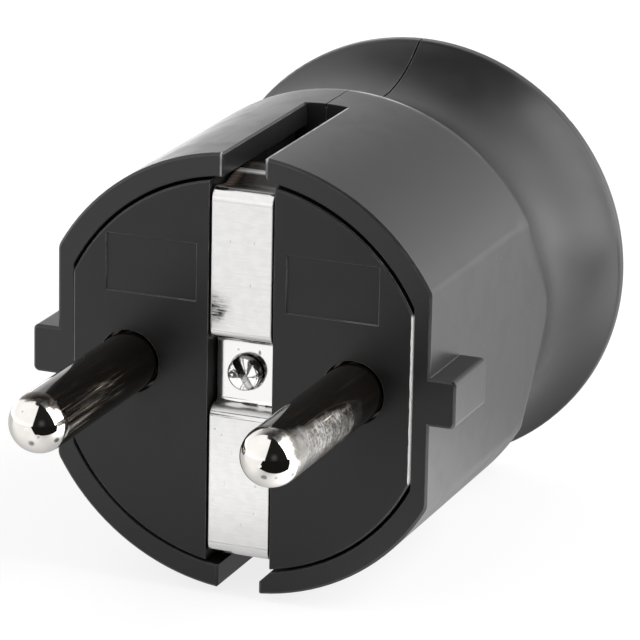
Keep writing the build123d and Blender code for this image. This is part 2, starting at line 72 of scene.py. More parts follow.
lens = bpy.data.cameras.new("camera")
lens.sensor_width = SENSOR
lens.lens = FOCAL_PIXELS / FRAME_PIXELS * SENSOR
lens.clip_start, lens.clip_end = CLIP_NEAR, CLIP_FAR
camera = bpy.data.objects.new("camera", lens)
bpy.context.scene.collection.objects.link(camera)
camera.matrix_world = Matrix(pose.tolist())
bpy.context.scene.camera = camera
bpy.context.scene.view_settings.view_transform = "Standard"
print("lens:", round(lens.lens, 1), "mm, distance", round(VIEW_DISTANCE / MM), "mm")

# %% [markdown]
# Shader trees are easier to read when each node is one short call. The first helpers make nodes:
# a socket is linked when it is given another node's output, and is otherwise set to the plain
# value. The next ones are named for the sum they work out, because a mask is mostly smooth steps
# from 0 to 1 multiplied together.

# %% Helpers: nodes and sums
def fill(tree, socket, value):
    """Links a socket to an output, or sets its plain value."""
    if isinstance(value, bpy.types.NodeSocket):
        tree.links.new(value, socket)
    else:
        socket.default_value = value


def node(tree, kind, inputs=None, **settings):
    """One shader node with its settings and its inputs by socket name or number."""
    made = tree.nodes.new("ShaderNode" + kind)
    for name, value in settings.items():
        setattr(made, name, value)
    for key, value in (inputs or {}).items():
        fill(tree, made.inputs[key], value)
    return made


def calc(tree, operation, *terms):
    """One Math node on the given terms; gives its output."""
    return node(tree, "Math", dict(enumerate(terms)), operation=operation).outputs[0]


def chain(tree, operation, terms):
    """The first two terms worked out, then that with the third, and so on."""
    result = terms[0]
    for term in terms[1:]:
        result = calc(tree, operation, result, term)
    return result


def product(tree, *terms):
    """All terms multiplied."""
    return chain(tree, "MULTIPLY", terms)


def total(tree, *terms):
    """All terms added."""
    return chain(tree, "ADD", terms)


def most(tree, *terms):
    """The largest term."""
    return chain(tree, "MAXIMUM", terms)


def minus(tree, first, second):
    """The first less the second."""
    return calc(tree, "SUBTRACT", first, second)


def size(tree, value):
    """The value without its sign."""
    return calc(tree, "ABSOLUTE", value)


def over(tree, value, limit):
    """1 where value is greater than limit, and else 0."""
    return calc(tree, "GREATER_THAN", value, limit)


def under(tree, value, limit):
    """1 where value is less than limit, and else 0."""
    return calc(tree, "LESS_THAN", value, limit)


def step(tree, value, start, end, low=0.0, high=1.0):
    """Smooth step: low where value is at start, high where it is at end, an S between them."""
    made = node(tree, "MapRange", {0: value, 1: start, 2: end, 3: low, 4: high},
                interpolation_type="SMOOTHSTEP")
    return made.outputs[0]


def band(tree, value, middle, half):
    """1 where value is at middle, falling smoothly to 0 at half to either side."""
    return step(tree, size(tree, minus(tree, value, middle)), half, 0.0)


print("helpers for nodes and sums ready")

# %% [markdown]
# The other helpers give positions, patterns and colours. A pattern that runs in lines, as after
# rolling or turning, is plain noise on a position that was stretched first. Dots are the middles
# of Voronoi cells: each cell has a random colour, so a limit on it keeps only some of the dots.
# Effects that several finishes share become node groups.

# %% Helpers: positions, patterns and groups
def here(tree):
    """The point on the object, in the object's own coordinates."""
    return node(tree, "TexCoord").outputs["Object"]


def axes(tree, point):
    """The x, y and z of a point."""
    return node(tree, "SeparateXYZ", {0: point}).outputs


def stretched(tree, point, scale):
    """Point and scale for a pattern: three scales are taken up by a Mapping node, and one stays."""
    if isinstance(scale, tuple):
        return node(tree, "Mapping", {"Vector": point, "Scale": scale}).outputs[0], 1.0
    return point, scale


def noise(tree, point, scale, detail, **more):
    """Cloudy noise from 0 to 1; more holds other inputs by name."""
    point, scale = stretched(tree, point, scale)
    return node(tree, "TexNoise", {"Vector": point, "Scale": scale, "Detail": detail, **more}).outputs[0]


def dots(tree, point, scale, limit, outer, inner):
    """Round dots: 0 at outer and 1 at inner cells from a middle, if the cell's random red is over limit."""
    point, scale = stretched(tree, point, scale)
    cells = node(tree, "TexVoronoi", {"Vector": point, "Scale": scale}).outputs
    kept = over(tree, node(tree, "SeparateColor", {0: cells["Color"]}).outputs[0], limit)
    return product(tree, step(tree, cells["Distance"], outer, inner), kept)


def vector(tree, operation, first, second=None, scale=None):
    """One Vector Math node; gives a number for a length or a dot product, and else a vector."""
    terms = {key: term for key, term in ((0, first), (1, second), ("Scale", scale)) if term is not None}
    made = node(tree, "VectorMath", terms, operation=operation)
    return made.outputs["Value" if operation in ("LENGTH", "DOT_PRODUCT") else "Vector"]


def bump(tree, depth, height, normal):
    """The normal of a surface with a relief: height 1 stands depth above height 0."""
    return node(tree, "Bump", {"Distance": depth, "Height": height, "Normal": normal}).outputs[0]


def grey(value):
    """A neutral colour."""
    return (value, value, value, 1.0)


def mix(tree, share, first, second):
    """A colour between first and second, by share from 0 to 1."""
    return node(tree, "Mix", {0: share, 6: first, 7: second}, data_type="RGBA").outputs[2]


def group(name, inputs, outputs):
    """An empty shader node group. Inputs are (name, kind, value), outputs are (name, kind)."""
    tree = bpy.data.node_groups.new(name, "ShaderNodeTree")
    for label, kind, value in inputs:
        tree.interface.new_socket(label, in_out="INPUT",
                                  socket_type="NodeSocket" + kind).default_value = value
    for label, kind in outputs:
        tree.interface.new_socket(label, in_out="OUTPUT", socket_type="NodeSocket" + kind)
    return tree, tree.nodes.new("NodeGroupInput").outputs, tree.nodes.new("NodeGroupOutput").inputs


def place(tree, group_tree, **inputs):
    """The group in another tree, its inputs by name with _ for a space; gives its outputs."""
    named = {label.replace("_", " "): value for label, value in inputs.items()}
    return node(tree, "Group", named, node_tree=group_tree).outputs


print("helpers for patterns and groups ready")

# %% [markdown]
# The light is a small studio. Polished metal shows it plainly: each pin's tip mirrors a white
# panel on the left, a brighter one on the right and a dark gap where the camera stands. The
# plastic shows it too, only blurred. Lamps would show as hard spots in the tips, so the world
# itself is the light, as a function of direction. A first curve gives the brightness by compass
# direction, from -Y towards +X: the panels, and the backdrop that is lit from the right. A second
# one dims the backdrop with height, and a third says where the panels stand.

# %% World: brightness by direction
COMPASS = (
    (-180, 0.75), (-160, 1.05), (-140, 1.25), (-120, 1.40), (-106, 1.5), (-102, 1.25), (-60, 1.25),
    (38, 1.2), (42, 5.2), (100, 5.2), (108, 4.1), (125, 3.1), (138, 2.9), (150, 2.0), (160, 1.25),
    (170, 0.9), (180, 0.70))
HEIGHT = (
    (-90, 0.5), (-45, 0.5), (-25, 0.8), (-8, 1.1), (8, 1.1), (17, 0.84), (28, 0.84), (35, 0.80), (45, 0.53),
    (55, 0.27), (65, 0.11), (72, 0.04), (90, 0.03))
PANELS = (
    (-180, 0.0), (-107, 0.0), (-102, 1.0), (100, 1.0), (110, 0.72), (125, 0.54), (140, 0.42), (155, 0.2),
    (165, 0.0), (180, 0.0))


def curve(tree, angle, stops):
    """A value that runs straight from stop to stop; stops are (degrees, value) and angle is in radians."""
    low, high = stops[0][0], stops[-1][0]
    share = node(tree, "MapRange", {0: angle, 1: math.radians(low), 2: math.radians(high)}).outputs[0]
    made = node(tree, "ValToRGB", {0: share})
    ramp = made.color_ramp
    while len(ramp.elements) < len(stops):
        ramp.elements.new(1.0)
    for element, (degrees, value) in zip(ramp.elements, stops):
        element.position, element.color = (degrees - low) / (high - low), grey(value)
    return made.outputs[0]


print("brightest direction:", max(value for _, value in COMPASS))

# %% [markdown]
# The panels stay bright up to their own tops, which differ. The gap between them has its own mask,
# because its edges lean together a little with height. It is nearly black for what the metal
# mirrors, with one soft grey patch in it, and lighter for the plain light that it gives. Camera
# rays always see plain white.

# %% World: two panels, a gap and a backdrop
LEFT_TOP, RIGHT_TOP, TOP_SOFT = (math.radians(a) for a in (77.0, 60.0, 3.0))
TOP_CHANGE = 0.01
GAP_MIDDLE, GAP_HALF, GAP_SOFT = (math.radians(a) for a in (40.0, 42.0, 1.5))
GAP_LEAN, GAP_DARK, GAP_FILL = 0.36, 0.015, 0.25
STAND_COMPASS, STAND_ABOVE, STAND_HALF = (math.radians(a) for a in (32.0, 12.0, 17.0))
STAND_GREY = 0.07

world = bpy.data.worlds.new("studio")
bpy.context.scene.world = world
world.use_nodes = True
sky = world.node_tree
sky.nodes.clear()
toward = axes(sky, node(sky, "TexCoord").outputs["Generated"])
compass = calc(sky, "ARCTAN2", toward[0], product(sky, toward[1], -1.0))
above = calc(sky, "ARCSINE", toward[2])
top = step(sky, compass, GAP_MIDDLE - TOP_CHANGE, GAP_MIDDLE + TOP_CHANGE, LEFT_TOP, RIGHT_TOP)
panels = product(sky, curve(sky, compass, PANELS), step(sky, minus(sky, above, top), TOP_SOFT, -TOP_SOFT))
lit = product(sky, curve(sky, compass, COMPASS), most(sky, curve(sky, above, HEIGHT), panels))
spread = total(sky, 1.0, product(sky, GAP_LEAN, above))
aside = size(sky, product(sky, minus(sky, compass, GAP_MIDDLE), spread))
open_wall = step(sky, aside, GAP_HALF - GAP_SOFT, GAP_HALF + GAP_SOFT)
ray = node(sky, "LightPath").outputs
mirrored = most(sky, ray["Is Glossy Ray"], ray["Is Transmission Ray"])
stand = product(sky, band(sky, compass, STAND_COMPASS, STAND_HALF),
                band(sky, above, STAND_ABOVE, STAND_HALF), STAND_GREY)
filled = total(sky, stand, step(sky, mirrored, 0.0, 1.0, GAP_FILL, GAP_DARK))
lit = most(sky, product(sky, lit, open_wall), filled)
backing = node(sky, "Background", {"Color": grey(1.0), "Strength": most(sky, lit, ray["Is Camera Ray"])})
sky.links.new(backing.outputs[0], node(sky, "OutputWorld").inputs["Surface"])
print("gap between the panels:", round(math.degrees(2 * GAP_HALF)), "degrees")

# %% [markdown]
# The studio's table is one white board with a dark card on it. Both are flat sheets, so one
# function of two parameters makes them: straight lines between four corners.

# %% Boards as grids
def grid_mesh(name, points):
    """A mesh from an array of points (rows u, columns v, xyz): each cell of the grid is one quad."""
    rows, columns = points.shape[:2]
    u, v = (a.ravel() for a in np.meshgrid(np.arange(rows - 1), np.arange(columns - 1), indexing="ij"))
    corner = u * columns + v
    faces = np.stack([corner, corner + columns, corner + columns + 1, corner + 1], axis=1)
    mesh = bpy.data.meshes.new(name)
    mesh.from_pydata(points.reshape(-1, 3), [], faces.tolist())
    mesh.update()
    return mesh


def board(name, near_left, near_right, far_left, far_right, cells):
    """A flat board: near and far edges are straight mixes of their corners, and rows mix near and far."""
    even = np.linspace(0, 1, cells + 1)
    s, t = (a[..., None] for a in np.meshgrid(even, even, indexing="ij"))
    near = (1 - t) * np.asarray(near_left) + t * np.asarray(near_right)
    far = (1 - t) * np.asarray(far_left) + t * np.asarray(far_right)
    made = bpy.data.objects.new(name, grid_mesh(name, (1 - s) * near + s * far))
    bpy.context.scene.collection.objects.link(made)
    return made


FLOOR_Z = cad_box[0].z
FLOOR_HALF, FLOOR_CELLS = 400 * MM, 12
floor = board("floor", (-FLOOR_HALF, -FLOOR_HALF, FLOOR_Z), (FLOOR_HALF, -FLOOR_HALF, FLOOR_Z),
              (-FLOOR_HALF, FLOOR_HALF, FLOOR_Z), (FLOOR_HALF, FLOOR_HALF, FLOOR_Z), FLOOR_CELLS)
print("floor at", round(FLOOR_Z / MM, 2), "mm with", len(floor.data.polygons), "cells")

# %% [markdown]
# The board's paint scatters light, so the plug's shadow falls on it, and for camera rays it also
# glows, which brings the lit board up to the white behind it. For mirrored rays the glow depends
# on the place: beside the right panel the board is far brighter than in front of the plug, and
# far behind it on the left it is bright as well.

# %% Floor paint
FLOOR_WHITE, FLOOR_GLOW = 0.25, 0.80
MIRROR_NEAR, MIRROR_FRONT, MIRROR_BACK, MIRROR_RIGHT = 0.42, 0.46, 2.2, (4.8, 0.93)
FRONT_X, FRONT_Y = (12 * MM, -12 * MM), (0.0, -38 * MM)
BACK_X, BACK_Y = (20 * MM, -20 * MM), (60 * MM, 180 * MM)
RIGHT_X, RIGHT_Y, RIGHT_FADE = (8 * MM, 60 * MM), (-40 * MM, 0.0), (25 * MM, 60 * MM)
RIGHT_PIVOT, RIGHT_SLANT = 30 * MM, 0.2

paint = bpy.data.materials.new("floor_paint")
paint.use_nodes = True
coat = paint.node_tree
coat.nodes.clear()
scatter = node(coat, "BsdfDiffuse", {"Color": grey(FLOOR_WHITE)})
ray = node(coat, "LightPath").outputs
x, y, _ = axes(coat, here(coat))
in_front = product(coat, step(coat, y, *FRONT_Y, 0.0, MIRROR_FRONT), step(coat, x, *FRONT_X))
behind = product(coat, step(coat, y, *BACK_Y, 0.0, MIRROR_BACK), step(coat, x, *BACK_X))
slanting = minus(coat, x, product(coat, minus(coat, y, RIGHT_PIVOT), RIGHT_SLANT))
beside = product(coat, step(coat, slanting, *RIGHT_X), step(coat, y, *RIGHT_Y),
                 step(coat, y, *RIGHT_FADE, *MIRROR_RIGHT))
mirrored = product(coat, most(coat, ray["Is Glossy Ray"], ray["Is Transmission Ray"]),
                   total(coat, in_front, behind, beside, MIRROR_NEAR))
glow = total(coat, mirrored, product(coat, ray["Is Camera Ray"], FLOOR_GLOW))
glowing = node(coat, "Emission", {"Strength": glow})
both = node(coat, "AddShader", {0: scatter.outputs[0], 1: glowing.outputs[0]})
coat.links.new(both.outputs[0], node(coat, "OutputMaterial").inputs["Surface"])
floor.data.materials.append(paint)
print("floor paint:", len(coat.nodes), "nodes")

# %% [markdown]
# A photographer lays a dark card on such a board where the metal should mirror something dark.
# It fills the gap between the panels, and its straight edge shows in both tips. Only mirrored
# rays see it, so it darkens neither the picture nor the plain light.

# %% Dark card
CARD_LEFT, CARD_RIGHT = np.array([-5.0, -50.0, 0.0]) * MM, np.array([40.0, -17.0, 0.0]) * MM
CARD_SIDES = (math.radians(-8.0), math.radians(91.0))
CARD_DEEP, CARD_LIFT, CARD_CELLS = 1500 * MM, 0.1 * MM, 4
CARD_BLACK = (0.01, 0.009, 0.008, 1.0)

lift = np.array([0.0, 0.0, FLOOR_Z + CARD_LIFT])
far_left, far_right = (near + CARD_DEEP * np.array([math.sin(a), -math.cos(a), 0.0])
                       for near, a in zip((CARD_LEFT, CARD_RIGHT), CARD_SIDES))
card = board("dark_card", CARD_LEFT + lift, CARD_RIGHT + lift, far_left + lift, far_right + lift, CARD_CELLS)
card.visible_camera = card.visible_diffuse = card.visible_shadow = False
card_black = bpy.data.materials.new("card_black")
card_black.use_nodes = True
card_shader = card_black.node_tree.nodes["Principled BSDF"].inputs
card_shader["Base Color"].default_value = CARD_BLACK
card_shader["Specular IOR Level"].default_value = 0.0
card.data.materials.append(card_black)
print("dark card:", round(np.linalg.norm(CARD_RIGHT - CARD_LEFT) / MM, 1), "mm wide at its near edge")

# %% [markdown]
# Moulded edges are never quite sharp. The Bevel node looks at the surface within a small radius
# and gives the normal that a rounded edge would have, so a thin line along each edge catches
# light. Where that normal leaves the true one, there is an edge: the difference is a mask for the
# edges that are painted lighter, as wear or shear with a painted highlight along them.

# %% Shared effect: soft edges
EDGE_RADIUS, EDGE_RAYS = 0.15 * MM, 6
EDGE_STARTS, EDGE_FULL = 0.985, 0.88

edge_tree, given, out = group("soft_edge", [("Radius", "Float", EDGE_RADIUS)],
                              [("Normal", "Vector"), ("Edge", "Float")])
rounded = node(edge_tree, "Bevel", {"Radius": given["Radius"]}, samples=EDGE_RAYS).outputs[0]
agree = vector(edge_tree, "DOT_PRODUCT", rounded, node(edge_tree, "NewGeometry").outputs["Normal"])
fill(edge_tree, out["Normal"], rounded)
fill(edge_tree, out["Edge"], step(edge_tree, agree, EDGE_STARTS, EDGE_FULL))
print("soft edges:", len(edge_tree.nodes), "nodes")

# %% [markdown]
# Injection-moulded plastic copies its mould: a very fine eroded grain, and over centimetres a
# slight unevenness where it shrank. Both are noise on Object coordinates, at two scales. A third
# noise gives faint cloudy patches where the gloss differs, and sparse dots stand for dust.

# %% Shared effect: moulded grain
FINE_SHARE, WIDE_SHARE = 0.25, 2.0
WIDE_SCALE, CLOUD_SCALE, DUST_SCALE, DUST_LIMIT = 110.0, 320.0, 700.0, 0.95

grain_tree, given, out = group(
    "moulded_grain", [("Grain Size", "Float", 0.09 * MM), ("Dust", "Float", 0.5)],
    [("Height", "Float"), ("Cloud", "Float"), ("Dust", "Float")])
at = here(grain_tree)
fine = noise(grain_tree, at, calc(grain_tree, "DIVIDE", 1.0, given["Grain Size"]), 2.0, Roughness=0.6)
wide = noise(grain_tree, at, WIDE_SCALE, 1.0)
cloud = noise(grain_tree, at, CLOUD_SCALE, 4.0, Distortion=0.6)
speck = dots(grain_tree, at, DUST_SCALE, DUST_LIMIT, 0.08, 0.03)
height = total(grain_tree, product(grain_tree, fine, FINE_SHARE), product(grain_tree, wide, WIDE_SHARE))
fill(grain_tree, out["Height"], height)
fill(grain_tree, out["Cloud"], step(grain_tree, cloud, 0.35, 0.7))
fill(grain_tree, out["Dust"], product(grain_tree, speck, given["Dust"]))
print("moulded grain:", len(grain_tree.nodes), "nodes")

# %% [markdown]
# Wear sits in known places, so it needs a mask with a place. A spot is the simplest: the distance
# from a centre, divided by a half size along each axis, and 1 inside. Noise added to the position
# first makes its outline ragged.

# %% Shared effect: spots
SPOT_EDGE, SPOT_FULL, SPOT_SCALE = 1.0, 0.35, 2200.0

spot_tree, given, out = group(
    "spot",
    [("Centre", "Vector", (0.0, 0.0, 0.0)), ("Half", "Vector", (MM, MM, MM)), ("Ragged", "Float", 0.0)],
    [("Mask", "Float")])
at = here(spot_tree)
stray = node(spot_tree, "TexNoise", {"Vector": at, "Scale": SPOT_SCALE, "Detail": 3.0}).outputs["Color"]
stray = vector(spot_tree, "SUBTRACT", stray, (0.5, 0.5, 0.5))
stray = vector(spot_tree, "SCALE", stray, scale=given["Ragged"])
apart = vector(spot_tree, "SUBTRACT", vector(spot_tree, "ADD", at, stray), given["Centre"])
apart = vector(spot_tree, "LENGTH", vector(spot_tree, "DIVIDE", apart, given["Half"]))
fill(spot_tree, out["Mask"], step(spot_tree, apart, SPOT_EDGE, SPOT_FULL))


def spot(tree, centre, half, ragged):
    """A spot's mask in a material; centre, half sizes and raggedness are in millimetres."""
    made = place(tree, spot_tree, Centre=tuple(c * MM for c in centre), Half=tuple(h * MM for h in half),
                 Ragged=ragged * MM)
    return made["Mask"]


print("spots:", len(spot_tree.nodes), "nodes")

# %% [markdown]
# The next mask is a painted highlight where the seat's edge along the carrier's flat sides catches
# the light: a pale line at the same place on both plastics, strong on the right side and weak on
# the left one. Noise moves its inner border.

# %% Shared effect: the seat's painted highlight
SEAT_FLAT, SEAT_HIGHLIGHT_IN, SEAT_HIGHLIGHT_OUT, SEAT_HIGHLIGHT_HALF, SEAT_HIGHLIGHT_DEEP = (v * MM for v in (14.30, 0.12, 0.06, 7.0, 0.30))
SEAT_HIGHLIGHT_SCALE, SEAT_HIGHLIGHT_INSET, SEAT_HIGHLIGHT_FADE = 900.0, 1.4, 0.95

seat_highlight_tree, given, out = group("seat_highlight", [("Left Share", "Float", 0.3)], [("Mask", "Float")])
at = here(seat_highlight_tree)
x, y, z = axes(seat_highlight_tree, at)
out_x = size(seat_highlight_tree, x)
ragged = noise(seat_highlight_tree, at, SEAT_HIGHLIGHT_SCALE, 3.0)
inner = total(seat_highlight_tree, SEAT_FLAT - SEAT_HIGHLIGHT_INSET * SEAT_HIGHLIGHT_IN, product(seat_highlight_tree, ragged, SEAT_HIGHLIGHT_IN))
line = product(seat_highlight_tree, over(seat_highlight_tree, out_x, inner), under(seat_highlight_tree, out_x, SEAT_FLAT + SEAT_HIGHLIGHT_OUT),
               under(seat_highlight_tree, y, SEAT_HIGHLIGHT_DEEP),
               step(seat_highlight_tree, size(seat_highlight_tree, z), SEAT_HIGHLIGHT_HALF, SEAT_HIGHLIGHT_FADE * SEAT_HIGHLIGHT_HALF),
               step(seat_highlight_tree, x, -MM, MM, given["Left Share"], 1.0))
fill(seat_highlight_tree, out["Mask"], line)
print("shared effects:", [t.name for t in bpy.data.node_groups])

# %% [markdown]
# A plug is pushed into sockets thousands of times, and the lips of its upper slot rub first. The
# edges there are pale and broken, partly from that wear and partly from a painted highlight: on
# both lips at the front, stronger on the right one, along the right edge of the slot, and on the
# shoulder behind the slot's end. Each is a band across one axis, limited along the others.

# %% Wear and painted highlights round the upper slot
LIP_X, LIP_DEEP, LIP_Z = (1.93 * MM, 0.11 * MM), 0.45 * MM, 14.0 * MM
RIGHT_LIP = (1.87 * MM, 0.22 * MM)
SLOT_EDGE, SLOT_END, EDGE_Z = (1.97 * MM, 0.10 * MM), 17.4 * MM, 17.6 * MM
SHOULDER_EDGE, SHOULDER_X = (22.28 * MM, 0.30 * MM), (2.5 * MM, 4.5 * MM)


def slot_wear_and_highlight(tree, x, y, z, cloud):
    """The mask of all four bands, broken up by the grain's cloud."""
    high, at_front = over(tree, z, LIP_Z), under(tree, y, LIP_DEEP)
    broken = step(tree, cloud, 0.0, 0.5, 0.45, 1.0)
    lips = product(tree, band(tree, size(tree, x), *LIP_X), at_front, high,
                   step(tree, cloud, 0.0, 0.6, 0.2, 1.0))
    right_lip = product(tree, band(tree, x, *RIGHT_LIP), at_front, high, broken)
    slot_edge = product(tree, band(tree, x, *SLOT_EDGE), under(tree, y, SLOT_END), over(tree, z, EDGE_Z),
                        broken)
    shoulder = product(tree, band(tree, y, *SHOULDER_EDGE), band(tree, x, *SHOULDER_X), high, broken)
    return most(tree, lips, right_lip, slot_edge, shoulder)


print("lips of the slot at", round(LIP_X[0] / MM, 2), "mm from the middle")

# %% [markdown]
# The housing is a satin thermoplastic, nearly black: what looks like grey is the white studio in
# its surface. The pin carrier is the same plastic with a finer, drier face. One function makes
# both, because only the values differ. Base Color and Roughness change over the surface, so they
# are linked; the refractive index is the same all over, so it is set on the shader itself. The
# shoulder behind the hood is far rounder than the other edges, so the soft edge gets a larger
# radius there, but not at the joint of the halves, which stays crisp.

# %% Finish: moulded plastics
SHOULDER_START, SHOULDER_LAST = (19.0 * MM, 21.5 * MM), (29.0 * MM, 25.0 * MM)
JOINT_SOFT = (0.5 * MM, 1.2 * MM)
CLOUD_DARK, EDGE_WEAR_HIGHLIGHT_LEAST = 0.85, 0.35
LIP_GREY, DUST_GREY, SEAT_HIGHLIGHT_PALE = grey(0.50), (0.45, 0.44, 0.42, 1.0), (0.97, 0.97, 0.95, 1.0)
PLASTIC_IOR = 1.45


def start_material(name):
    """A new material with an empty tree, its Principled shader and its output joined."""
    made = bpy.data.materials.new(name)
    made.use_nodes = True
    tree = made.node_tree
    tree.nodes.clear()
    shader = node(tree, "BsdfPrincipled")
    tree.links.new(shader.outputs[0], node(tree, "OutputMaterial").inputs["Surface"])
    return made, tree, shader.inputs


def moulded_plastic(name, tone, pale_highlight, gloss, radii, grain_size, grain_depth, dust, left_highlight):
    """Satin plastic: tone is the grey of the body and the next argument the grey of its edges, worn pale
    and lit with a painted highlight; gloss is (low, high) roughness, and radii round the edges in
    general and at the shoulder."""
    made, tree, shader = start_material(name)
    x, y, z = axes(tree, here(tree))
    at_shoulder = product(tree, step(tree, y, *SHOULDER_START), step(tree, y, *SHOULDER_LAST),
                          step(tree, size(tree, x), *JOINT_SOFT))
    edge = place(tree, edge_tree, Radius=step(tree, at_shoulder, 0.0, 1.0, *radii))
    grain = place(tree, grain_tree, Grain_Size=grain_size, Dust=dust)
    cloud = grain["Cloud"]
    # Lighter edges: pale wear with a painted highlight along them.
    edge_wear_and_highlight = product(tree, edge["Edge"], step(tree, cloud, 0.0, 1.0, EDGE_WEAR_HIGHLIGHT_LEAST, 1.0))
    body = mix(tree, cloud, grey(CLOUD_DARK * tone), grey(tone))
    body = mix(tree, edge_wear_and_highlight, body, grey(pale_highlight))
    # The slot's lips and edges: pale wear with a painted highlight along them.
    body = mix(tree, slot_wear_and_highlight(tree, x, y, z, cloud), body, LIP_GREY)
    body = mix(tree, grain["Dust"], body, DUST_GREY)
    # A pale painted highlight along the seat's edge on the flat sides.
    painted_seat_highlight = place(tree, seat_highlight_tree, Left_Share=left_highlight)["Mask"]
    fill(tree, shader["Base Color"], mix(tree, painted_seat_highlight, body, SEAT_HIGHLIGHT_PALE))
    fill(tree, shader["Roughness"], step(tree, cloud, 0.0, 1.0, *gloss))
    shader["IOR"].default_value = PLASTIC_IOR
    fill(tree, shader["Normal"], bump(tree, grain_depth, grain["Height"], edge["Normal"]))
    return made


housing_plastic = moulded_plastic(
    "housing_plastic", tone=0.021, pale_highlight=0.22, gloss=(0.29, 0.34), radii=(0.09 * MM, 1.4 * MM),
    grain_size=0.09 * MM, grain_depth=0.003 * MM, dust=0.35, left_highlight=0.4)
carrier_plastic = moulded_plastic(
    "carrier_plastic", tone=0.012, pale_highlight=0.32, gloss=(0.36, 0.42), radii=(0.09 * MM, 0.09 * MM),
    grain_size=0.07 * MM, grain_depth=0.003 * MM, dust=0.5, left_highlight=0.2)
print("plastics:", housing_plastic.name, carrier_plastic.name)

# %% [markdown]
# A metal is a colour and a smoothness. Two noises do most of the work: fine lines from turning or
# rolling, and a faint cloud. The wire block inside the plug is plain machined brass and shows
# just these. The pins, the strap and the screws add the masks of their own wear.

# %% Finish: machined brass
BRASS, BRASS_CLOUD = (0.72, 0.58, 0.33), 0.93
BRASS_GLOSS, BRASS_LINES = (0.22, 0.34), (2500.0, 9000.0, 2500.0)
LINE_LOW, LINE_HIGH = 0.3, 0.7


def metal_start(name):
    """A metal, its tree and shader, its Object position and that position's x, y and z."""
    made, tree, shader = start_material(name)
    shader["Metallic"].default_value = 1.0
    at = here(tree)
    return made, tree, shader, at, axes(tree, at)


terminal_brass, tree, shader, at, _ = metal_start("terminal_brass")
lines = noise(tree, at, BRASS_LINES, 3.0)
cloud = noise(tree, at, 400.0, 3.0)
edge = place(tree, edge_tree, Radius=0.1 * MM)
fill(tree, shader["Base Color"], mix(tree, step(tree, cloud, LINE_LOW, LINE_HIGH),
                                     (*(BRASS_CLOUD * c for c in BRASS), 1.0), (*BRASS, 1.0)))
fill(tree, shader["Roughness"], step(tree, lines, LINE_LOW, LINE_HIGH, *BRASS_GLOSS))
fill(tree, shader["Normal"], bump(tree, 0.001 * MM, lines, edge["Normal"]))
print("brass:", terminal_brass.name)

# %% [markdown]
# The pins are turned and polished, and their tips are mirrors. Behind the tip use has left a thin
# brown tarnish on the upper and right sides, laid on as painted shade as well, which swallows most
# of what they mirror. The right pin has also been scraped on its lower right side. Both masks use
# the angle round the pin's own axis and the distance along it, and noise makes their borders sway.
# On top of the pin the tarnish and its painted shade reach a little further towards the tip, as a cap.

# %% The pins: where they are tarnished and painted with shade, and where scraped
PIN_X = 9.5 * MM
PATCH_LOW, PATCH_HIGH = math.radians(-80.0), math.radians(52.0)
PATCH_LOW_SOFT, PATCH_HIGH_SOFT, PATCH_NARROWS = 0.15, 0.22, 0.5
PATCH_START, PATCH_END = -17.0 * MM, -5.2 * MM
PATCH_FADE, TIP_SOFT = (PATCH_END + 1.8 * MM, PATCH_END - 2.2 * MM), 0.3 * MM
TARNISH_SHADE_LEFT, TARNISH_SHADE_SOFT = math.radians(128.0), 0.06
TARNISH_SHADE_UNDER = (math.radians(-125.0), math.radians(-105.0))
CAP_AT, CAP_HALF, CAP_REACH = math.radians(88.0), math.radians(70.0), 0.55 * MM
SWAY_ALONG = 3.0 * MM

pin_nickel, tree, shader, at, (x, y, z) = metal_start("pin_nickel")
is_right = over(tree, x, 0.0)
own_axis = step(tree, is_right, 0.0, 1.0, -PIN_X, PIN_X)
round_axis = calc(tree, "ARCTAN2", z, minus(tree, x, own_axis))
ragged = noise(tree, at, 700.0, 4.0)
sway = minus(tree, ragged, 0.5)
turned = total(tree, round_axis, sway)
along = total(tree, y, product(tree, sway, SWAY_ALONG))
cap = product(tree, band(tree, round_axis, CAP_AT, CAP_HALF), CAP_REACH)
behind_tip = step(tree, total(tree, along, cap), PATCH_START - TIP_SOFT, PATCH_START + TIP_SOFT)
narrower = step(tree, y, PATCH_START, PATCH_END, 0.0, PATCH_NARROWS)
patch = product(tree, step(tree, turned, PATCH_LOW - PATCH_LOW_SOFT, PATCH_LOW + PATCH_LOW_SOFT),
                step(tree, total(tree, turned, narrower), PATCH_HIGH + PATCH_HIGH_SOFT,
                     PATCH_HIGH - PATCH_HIGH_SOFT),
                step(tree, along, *PATCH_FADE), is_right, behind_tip)
shaded = product(tree, behind_tip, step(tree, round_axis, *TARNISH_SHADE_UNDER),
                 step(tree, round_axis, TARNISH_SHADE_LEFT + TARNISH_SHADE_SOFT, TARNISH_SHADE_LEFT - TARNISH_SHADE_SOFT))
print("scraped patch, right pin:", round(PATCH_START / MM, 1), "to", round(PATCH_END / MM, 1), "mm")

# %% [markdown]
# The tips have a few dark pits: small ones anywhere, from Voronoi dots, and six larger ones in
# known places. The tarnish has worn into bright streaks along the pin on its right side. In the
# scraped patch short marks run across the pin, and they get rougher towards its root.

